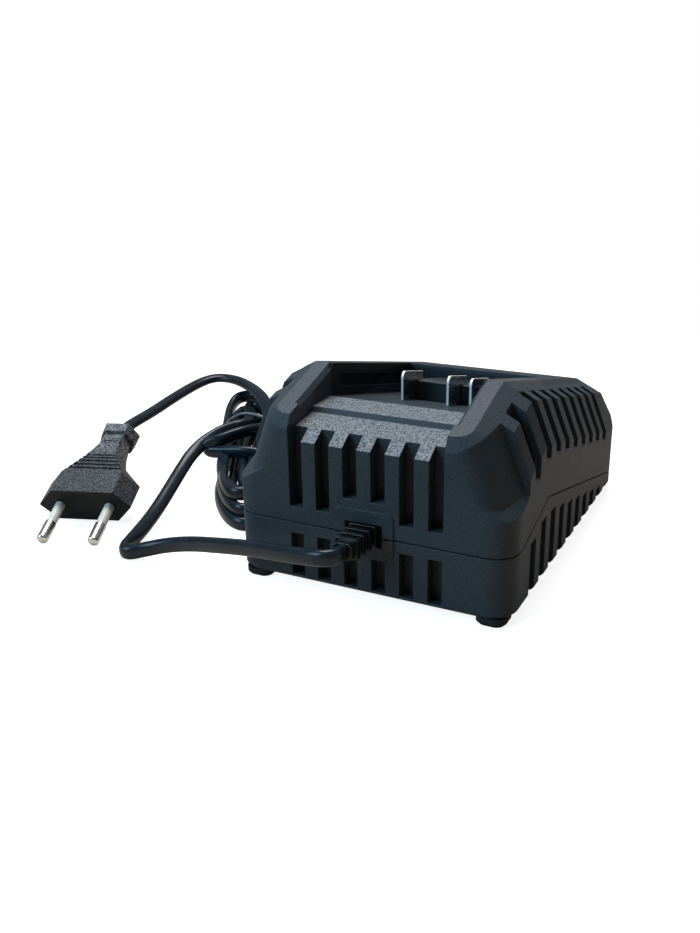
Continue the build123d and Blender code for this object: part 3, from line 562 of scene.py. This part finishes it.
tone = shell.mix(grains * 0.3, shell.ramp(cloud, *charcoal), grain_tip)
# Painted highlight: a pale line just below edges that are rounded off towards a face above
tone = shell.mix(0.8 * top_edge_highlight(shell, 0.0004), tone, painted_edge_highlight)
beside_floor = (across < half_floor) * (y > ramp_back)
guides = beside_floor * (z > guide_foot)
# Painted shade: the guide walls that face sideways are made near black
tone = shell.mix(guides * (abs(sideways) > 0.5), tone, painted_guide_shade)
# Painted light: the back wall between the guides, facing the front, is half lightened
tone = shell.mix(guides * (backwards < -0.5) * 0.5, tone, painted_back_wall_light)
# Painted light: the up-facing rail tops beside the ramp are lightened, in a grain pattern
beside_ramp = smoothstep(shell, up, 0.80, 0.93) * (across > 0.0254)
rails = beside_ramp * (1 - beside_floor * (z < floor_top))
tone = shell.mix(rails * (0.30 + 0.5 * grains), tone, rail_top_light)
step = (across < half_ramp) * (y < step_back) * (z > step_foot) * (up < 0.5)
tone = shell.mix(step, tone, step_grey)
# Coarse grain on the up-facing ramp, its bright tips painted glints
coarse = (across < half_ramp) * (y < ramp_back) * (z > ramp_foot) * (up > 0.5)
tone = shell.mix(coarse, tone, shell.ramp(grains, *coarse_grain_and_glints))
# Painted shade: seams and corners go near black where an ambient occlusion node finds little light
shell.set(
    Base_Color=shell.mix(openness(shell, 0.0012), painted_crevice_shade, tone),
    Roughness=0.44 + 0.1 * scuff,
    Normal=shell.bump(grains, 0.5, 0.00008, eased_edges(shell, 0.0005)),
)
paint(shell, "upper_housing", "lower_housing")


# ------------------------------------------------------------------ housing screws
# Zinc-plated cross-head screws. Four go in from below, with their heads in counterbores of the
# lower half, and smaller ones of the same kind hold the board and the terminal block.

zinc = Finish("zinc_steel", Metallic=1.0)
film = zinc.noise(500, 3.0)
zinc.set(
    Base_Color=zinc.ramp(film, (0.3, (0.46, 0.47, 0.49)), (0.7, (0.66, 0.67, 0.68))),
    Roughness=0.28 + 0.2 * film,
    Normal=zinc.bump(zinc.noise(2500, 2.0), 0.15, 0.00003),
)
paint(zinc, "housing_screws", "board_screws", "terminal_screws")


# ------------------------------------------------------------------ rubber feet
# Four feet of dark grey rubber, moulded and then pushed into the lower half at its corners. They
# are matt and faintly dusty.


def moulded(name, dark, light, grain_scale, grain_depth, rough):
    """Moulded plastic or rubber: a cloudy tone between two colours under a fine even grain."""
    finish = Finish(name, IOR=1.48, Specular_IOR_Level=0.25)
    cloud = finish.noise(45, 3.0)
    grain = finish.noise(grain_scale, 2.0, 0.6)
    finish.set(
        Base_Color=finish.ramp(cloud, (0.3, dark), (0.7, light)),
        Roughness=rough - 0.05 + 0.1 * cloud,
        Normal=finish.bump(grain, 0.6, grain_depth, eased_edges(finish, 0.0004)),
    )
    return finish


rubber_shades = (0.014, 0.014, 0.015), (0.030, 0.030, 0.030)
paint(moulded("foot_rubber", *rubber_shades, 1800, 0.00006, 0.72), "rubber_feet")


# ------------------------------------------------------------------ circuit board
# Board of glass-filled resin under green lacquer, with copper areas showing through it, tinned
# solder dots and bare sawn edges. It stands on posts of the lower half.

copper_wide = 0.011
copper_deep = 0.0046
copper_gap = 0.0004
over_copper = (0.016, 0.110, 0.048)
over_resin = (0.008, 0.048, 0.024)
solder = (0.62, 0.63, 0.64)

board = Finish("board_laminate", IOR=1.5)
x, y = board.parts(board.place())[:2]
gaps = board.node(
    "ShaderNodeTexBrick",
    {"offset": 0.37, "squash": 1.6},
    {
        "Vector": board.place(),
        "Scale": 1.0,
        "Mortar Size": copper_gap,
        "Brick Width": copper_wide,
        "Row Height": copper_deep,
    },
    output="Fac",
)
from_dot = board.node(
    "ShaderNodeTexVoronoi", (), {"Vector": board.place(), "Scale": 210.0}, output="Distance"
)
dots = from_dot < 0.22
flat = abs(facing(board)[2]) > 0.5
weave = (x * 9000).math("SINE") * (y * 9000).math("SINE")
lacquer = board.mix(gaps, over_copper, over_resin)
sawn = board.ramp(board.noise(700, 3.0), (0.3, (0.30, 0.27, 0.16)), (0.7, (0.46, 0.42, 0.27)))
board.set(
    Base_Color=board.mix(flat, sawn, board.mix(dots, lacquer, solder)),
    Metallic=flat * dots,
    Roughness=0.34 + 0.1 * board.noise(300, 2.0) - 0.12 * gaps,
    Normal=board.bump(weave * 0.2 + dots * 2.0, 0.3, 0.00006),
)
paint(board, "circuit_board")


# ------------------------------------------------------------------ capacitors
# Aluminium cans in a shrunk dark sleeve with a pale stripe down the negative side. The bare top
# has a pressed cross that lets go under pressure. Both are soldered to the board.


def corners(node):
    """The lowest and the highest corner of a CAD node."""
    return [Vector(corner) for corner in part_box(node)]


def can_finish(name, node, sleeve, stripe):
    """Sleeve below, bare metal disc on top; the stripe is where the can faces the cable side."""
    low, high = corners(node)
    middle, radius = (low + high) / 2, (high.x - low.x) / 2
    can = Finish(name, IOR=1.5)
    x, y, z = can.parts(can.place())
    x, y = x - middle.x, y - middle.y
    top = (z > high.z - 0.0002) * ((x * x + y * y).math("SQRT") < radius - 0.0009)
    cross = (abs(x) < 0.0003) + (abs(y) < 0.0003)
    shrink = can.noise(160, 4.0, 0.6, (1, 1, 0.3))
    skin = can.ramp(shrink, (0.3, tuple(0.75 * c for c in sleeve)), (0.7, sleeve))
    skin = can.mix((abs(x) < 0.3 * radius) * (y < 0), skin, stripe)
    can.set(
        Base_Color=can.mix(top, skin, (0.72, 0.73, 0.74)),
        Metallic=top,
        Roughness=0.22 + 0.2 * shrink,
        Normal=can.bump(shrink - top * cross * 3, 0.4, 0.0001, eased_edges(can, 0.0005)),
    )
    paint(can, node)


can_finish("input_can", "input_capacitor", (0.012, 0.016, 0.034), (0.42, 0.43, 0.44))
can_finish("output_can", "output_capacitor", (0.014, 0.038, 0.022), (0.55, 0.50, 0.30))


# ------------------------------------------------------------------ fuse and rectifier
# The fuse is a small sealed can of brown plastic and the rectifier a block of black epoxy with a
# parting line round its middle. Both are soldered to the board.

fuse_browns = (0.085, 0.030, 0.014), (0.13, 0.050, 0.024)
paint(moulded("fuse_plastic", *fuse_browns, 1600, 0.00004, 0.34), "fuse")

parting = corners("bridge_rectifier")[0].z + 0.0026
epoxy = Finish("black_epoxy", IOR=1.5)
seam = abs(epoxy.parts(epoxy.place())[2] - parting) < 0.00012
resin = epoxy.noise(1300, 3.0)
black = epoxy.ramp(resin, (0.3, (0.012, 0.012, 0.013)), (0.7, (0.030, 0.030, 0.031)))
epoxy.set(
    Base_Color=epoxy.mix(seam, black, (0.07, 0.07, 0.07)),
    Roughness=0.42 + 0.2 * resin,
    Normal=epoxy.bump(resin + seam, 0.4, 0.00006, eased_edges(epoxy, 0.0005)),
)
paint(epoxy, "bridge_rectifier")


# ------------------------------------------------------------------ line choke
# Ring of pressed powder under green lacquer, with two windings of enamelled copper wire that
# leave a gap between them. It lies flat on the board.

strands_round = 30
gap_turned_by = 0.5

low, high = corners("line_choke")
middle = (low + high) / 2
choke = Finish("choke_winding")
x, y = choke.parts(choke.place())[:2]
turned_by = (y - middle.y).math("ARCTAN2", x - middle.x)
strand = (turned_by * strands_round).math("SINE")
wound = abs((turned_by - gap_turned_by).math("COSINE")) > 0.3
enamel = choke.ramp(strand * 0.5 + 0.5, (0.0, (0.16, 0.050, 0.016)), (0.8, (0.72, 0.30, 0.11)))
pressed = choke.ramp(choke.noise(1500, 2.0), (0.3, (0.03, 0.12, 0.055)), (0.7, (0.05, 0.18, 0.085)))
choke.set(
    Base_Color=choke.mix(wound, pressed, enamel),
    Metallic=wound * 0.8,
    Roughness=0.55 - 0.27 * wound,
    Normal=choke.bump(wound * strand, 0.8, 0.0004),
)
paint(choke, "line_choke")


# ------------------------------------------------------------------ transformer
# Two halves of dark ferrite round a bobbin. The winding is wrapped in amber polyester tape, and
# one more band of the same tape holds the halves together.

tape_pitch = 0.0024
half_band = 0.0036


def taped(finish, lowest, share):
    """Amber tape laid in turns, each with a fine darker edge; share is the edge's strength."""
    height = finish.parts(finish.place())[2] - lowest
    edge = smoothstep(finish, (height * (2 * math.pi / tape_pitch)).math("SINE"), 0.9, 1.0)
    amber = (0.3, (0.50, 0.27, 0.020)), (0.7, (0.66, 0.40, 0.035))
    film = finish.ramp(finish.noise(220, 3.0), *amber)
    return finish.mix(edge * share, film, (0.30, 0.15, 0.012)), edge


low, high = corners("transformer_core")
ferrite = Finish("ferrite", IOR=1.55)
band = abs(ferrite.parts(ferrite.place())[2] - (low.z + high.z) / 2) < half_band
sintered = ferrite.noise(1500, 4.0, 0.7)
grey = ferrite.ramp(sintered, (0.3, (0.030, 0.030, 0.032)), (0.75, (0.075, 0.075, 0.078)))
tape, edge = taped(ferrite, low.z, 0.7)
ferrite.set(
    Base_Color=ferrite.mix(band, grey, tape),
    Roughness=0.55 + 0.1 * sintered - 0.3 * band,
    Normal=ferrite.bump((1 - band) * sintered, 0.4, 0.00008, eased_edges(ferrite, 0.0005)),
)
paint(ferrite, "transformer_core")

winding = Finish("winding_tape", IOR=1.5)
tape, edge = taped(winding, low.z, 0.9)
winding.set(
    Base_Color=tape,
    Roughness=0.2 + 0.15 * winding.noise(300, 2.0),
    Normal=winding.bump(edge, 0.5, 0.00008),
)
paint(winding, "transformer_winding")


# ------------------------------------------------------------------ heat sink and transistor
# Aluminium plate standing on the board, brushed and anodised, with the switching transistor
# pressed flat against it. The transistor is epoxy on a tinned tab.

plate = Finish("brushed_aluminium", Metallic=1.0)
brushed = plate.noise(1500, 3.0, 0.6, (1, 1, 0.05))
plate.set(
    Base_Color=plate.ramp(brushed, (0.3, (0.44, 0.45, 0.46)), (0.7, (0.66, 0.67, 0.68))),
    Roughness=0.30 + 0.2 * brushed,
    Normal=plate.bump(brushed, 0.2, 0.00003, eased_edges(plate, 0.0003)),
)
paint(plate, "heat_sink")

tab_thick = 0.0013
tab_height = 0.0045
tinned = (0.62, 0.63, 0.62)

low, high = corners("switching_transistor")
case = Finish("transistor_case", IOR=1.5)
x, _, z = case.parts(case.place())
tab = 1 - (1 - (z > high.z - tab_height)) * (x > low.x + tab_thick)
grit = case.noise(1200, 3.0)
black = case.ramp(grit, (0.3, (0.012, 0.012, 0.013)), (0.7, (0.028, 0.028, 0.029)))
case.set(
    Base_Color=case.mix(tab, black, tinned),
    Metallic=tab,
    Roughness=0.36 + 0.2 * grit,
    Normal=case.bump(grit, 0.3, 0.00005, eased_edges(case, 0.0004)),
)
paint(case, "switching_transistor")


# ------------------------------------------------------------------ inner leads
# Stranded wires in soft coloured insulation: brown and blue from the mains cord to the board, and
# red, white and black from the blades. Their ends are soldered.

brown = (0.14, 0.055, 0.025)
blue = (0.02, 0.10, 0.36)
red = (0.42, 0.016, 0.012)
white = (0.72, 0.71, 0.68)
black = (0.015, 0.015, 0.016)


def insulated(name, node, shades, gaps):
    """One shade for each wire; the next wire's shade begins at each gap, a place across."""
    finish = Finish(name, IOR=1.5)
    x = finish.parts(finish.place())[0]
    tone = shades[0]
    for shade, gap in zip(shades[1:], gaps):
        tone = finish.mix(x > gap, tone, shade)
    drawn = finish.noise(500, 3.0, 0.6)
    finish.set(
        Base_Color=finish.mix(drawn * 0.4, tone, (0.05, 0.05, 0.05)),
        Roughness=0.26 + 0.2 * drawn,
        Normal=finish.bump(drawn, 0.2, 0.00006),
    )
    paint(finish, node)


insulated("mains_insulation", "mains_leads", [brown, blue], [0.0])
blades = ("contact_blade_left", "contact_blade_middle", "contact_blade_right")
between_blades = [
    (corners(one)[1].x + corners(other)[0].x) / 2 for one, other in zip(blades, blades[1:])
]
insulated("blade_insulation", "blade_leads", [red, white, black], between_blades)


# ------------------------------------------------------------------ terminal block and blades
# Block of glass-filled nylon, smoother than the housing, held by two screws. Three nickel-plated
# blades are pressed into it; their sheared edges are bare, and painted near white as a highlight.

nylon_shades = (0.020, 0.030, 0.038), (0.030, 0.042, 0.052)
paint(moulded("block_nylon", *nylon_shades, 2600, 0.00003, 0.36), "terminal_block")

nickel = Finish("blade_nickel")
drawn = nickel.noise(1400, 3.0, 0.6, (1, 0.06, 1))
# Painted highlight: the blades' edges, not their flat sides, are near white
sheared_and_highlit = abs(facing(nickel)[0]) < 0.5
plated = nickel.ramp(drawn, (0.3, (0.50, 0.51, 0.53)), (0.7, (0.78, 0.78, 0.77)))
nickel.set(
    Base_Color=nickel.mix(sheared_and_highlit, plated, (0.94, 0.94, 0.93)),
    Metallic=1 - 0.5 * sheared_and_highlit,
    Roughness=0.16 + 0.18 * drawn + 0.34 * sheared_and_highlit,
    Normal=nickel.bump(drawn, 0.12, 0.00002, eased_edges(nickel, 0.0002)),
)
paint(nickel, *blades)


# ------------------------------------------------------------------ strain relief
# Soft black moulding with four fins on a tapered neck. Its flange is clamped between the halves
# of the housing where the cord comes out.

relief = Finish("relief_rubber", IOR=1.48, Specular_IOR_Level=0.3)
matt = relief.noise(1600, 2.0)
relief.set(
    # Painted highlight: a pale line below the fins' upper edges, left out in gaps an ambient
    # occlusion node finds shaded
    Base_Color=relief.mix(
        top_edge_highlight(relief, 0.0003) * openness(relief, 0.0012),
        relief.ramp(matt, (0.3, (0.003, 0.004, 0.005)), (0.7, (0.006, 0.008, 0.010))),
        (0.34, 0.37, 0.40),
    ),
    Roughness=0.22 + 0.2 * matt,
    Normal=relief.bump(matt, 0.4, 0.00006, eased_edges(relief, 0.0003)),
)
paint(relief, "strain_relief")


# ------------------------------------------------------------------ plug
# Two-pin plug moulded on the cord in matt black plastic with a pebbled skin, smooth on the face
# round the pins. The smooth face is left darker as painted shade, and the pebbles on the neck are
# lighter as painted light. The pins are plated brass, with white insulating sleeves next to the
# plug.

face_middle = (-0.1173, front + 0.0089, 0.0078)
face_normal = (0.3096, -0.8992, -0.309)
smooth_edge = 0.0006
neck_start = 0.020
neck_end = 0.028
pebble_on_body = (0.15, 0.165, 0.18)
neck_pebble_painted_light = (0.38, 0.405, 0.43)

body = Finish("plug_plastic", IOR=1.48, Specular_IOR_Level=0.25)
pebble = speckle(body, 2900)
patch = body.noise(70, 3.0)
place = body.parts(body.place())
ahead_of_face = sum(
    (here - middle) * slope for here, middle, slope in zip(place, face_middle, face_normal)
)
# Painted shade: the smooth face gets no pebble tone, so it also stays darker
pebbled_unshaded_skin = ahead_of_face < -smooth_edge
# Painted light: the pebble tone is lighter on the neck
neck = smoothstep(body, -ahead_of_face, neck_start, neck_end)
body.set(
    Base_Color=body.mix(
        body.ramp(pebble, (0.25, (0, 0, 0)), (1.0, (1, 1, 1))) * pebbled_unshaded_skin,
        body.ramp(patch, (0.3, (0.006, 0.007, 0.008)), (0.7, (0.010, 0.012, 0.013))),
        body.mix(neck, pebble_on_body, neck_pebble_painted_light),
    ),
    Roughness=0.42 + 0.12 * patch,
    Normal=body.bump(pebble * pebbled_unshaded_skin, 0.35, 0.00006, eased_edges(body, 0.0005)),
)
paint(body, "plug_body")

sleeve = Finish("sleeve_plastic", IOR=1.5, Subsurface_Weight=0.3, Subsurface_Scale=0.003)
haze = sleeve.noise(300, 3.0)
sleeve.set(
    Base_Color=sleeve.ramp(haze, (0.3, (0.90, 0.76, 0.66)), (0.7, (0.98, 0.84, 0.74))),
    Roughness=0.30 + 0.12 * haze,
)
paint(sleeve, "plug_sleeves")

brass = Finish("pin_metal", Metallic=1.0)
turned = brass.noise(1200, 3.0, 0.6)
brass.set(
    Base_Color=brass.ramp(turned, (0.3, (0.66, 0.64, 0.58)), (0.7, (0.88, 0.86, 0.80))),
    Roughness=0.16 + 0.14 * turned,
    Normal=brass.bump(turned, 0.1, 0.00002),
)
paint(brass, "plug_pins")


# ------------------------------------------------------------------ studio
# White paper on a table in a dim room. A camera and glass see it as plain white, which fades to
# full white away from the charger, and other light from it is that of warm grey paper.

floor_half = 3.0
white_glow = 0.86
fade_start = 0.16
fade_end = 0.34
mirrored_share = 0.15


def shows_background(kit):
    """Share of the plain background in a ray: all of it from the camera or through glass, and a
    part in a mirrored ray, which otherwise sees the dimmer room."""
    path = kit.node("ShaderNodeLightPath").socket.node
    camera_ray, mirrored, through_glass = (
        Value(kit, path.outputs[ray])
        for ray in ("Is Camera Ray", "Is Glossy Ray", "Is Transmission Ray")
    )
    return camera_ray.math("MAXIMUM", mirrored * mirrored_share).math("MAXIMUM", through_glass)


floor_mesh = bpy.data.meshes.new("floor")
near_left = (-floor_half, -floor_half, 0)
near_right = (floor_half, -floor_half, 0)
far_right = (floor_half, floor_half, 0)
far_left = (-floor_half, floor_half, 0)
floor_mesh.from_pydata([near_left, near_right, far_right, far_left], [], [(0, 1, 2, 3)])
floor = bpy.data.objects.new("floor", floor_mesh)
bpy.context.scene.collection.objects.link(floor)
floor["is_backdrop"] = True

floor_material = bpy.data.materials.new("floor")
floor_material.use_nodes = True
floor_material.node_tree.nodes.clear()
sheet = Nodes(floor_material.node_tree)
glow = sheet.node("ShaderNodeEmission", (), {"Strength": white_glow})
shadowed = sheet.node("ShaderNodeBsdfDiffuse", (), {"Color": (0.8, 0.8, 0.8, 1)})
near_by = sheet.node("ShaderNodeAddShader", (), {0: glow, 1: shadowed})
blank = sheet.node("ShaderNodeEmission")
away = sheet.node("ShaderNodeVectorMath", {"operation": "LENGTH"}, {0: sheet.place()}, "Value")
fade = sheet.node(
    "ShaderNodeMapRange", (), {"Value": away, "From Min": fade_start, "From Max": fade_end}
)
seen = sheet.node("ShaderNodeMixShader", (), {0: fade, 1: near_by, 2: blank})
paper = sheet.node("ShaderNodeBsdfDiffuse", (), {"Color": (0.54, 0.43, 0.33, 1)})
either = sheet.node("ShaderNodeMixShader", (), {0: shows_background(sheet), 1: paper, 2: seen})
sheet.node("ShaderNodeOutputMaterial", (), {"Surface": either})
floor_mesh.materials.append(floor_material)

# The room is a little lighter behind the charger than in front of it
world = bpy.data.worlds.new("studio")
bpy.context.scene.world = world
world.use_nodes = True
world.node_tree.nodes.clear()
room = Nodes(world.node_tree)
to_back = room.parts(room.node("ShaderNodeTexCoord", output="Generated"))[1]
dim = room.ramp(
    to_back * 0.5 + 0.5, (0.48, (0.035, 0.040, 0.045)), (0.80, (0.075, 0.08, 0.085))
)
soft = room.node("ShaderNodeBackground", (), {"Color": dim})
plain = room.node("ShaderNodeBackground", (), {"Color": (1, 1, 1, 1)})
either = room.node("ShaderNodeMixShader", (), {0: shows_background(room), 1: soft, 2: plain})
room.node("ShaderNodeOutputWorld", (), {"Surface": either})


def softbox(name, place, aim, side, power, shade):
    """A square area light that points at a spot on the charger."""
    lamp = bpy.data.objects.new(name, bpy.data.lights.new(name, "AREA"))
    lamp.data.shape = "RECTANGLE"
    lamp.data.size = side
    lamp.data.size_y = side
    lamp.data.energy = power
    lamp.data.color = shade
    lamp.location = place
    lamp.rotation_mode = "QUATERNION"
    lamp.rotation_quaternion = (Vector(aim) - Vector(place)).to_track_quat("-Z", "Y")
    bpy.context.scene.collection.objects.link(lamp)


softbox("top_light", (-0.18, 0.13, 0.85), (0, 0, 0.04), 0.5, 6.6, (0.98, 0.98, 1.0))
softbox("front_light", (-0.50, -0.66, 0.45), (0, 0, 0.03), 0.5, 4.4, (0.44, 0.77, 1.0))

bpy.context.scene.view_settings.view_transform = "Standard"

low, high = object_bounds()
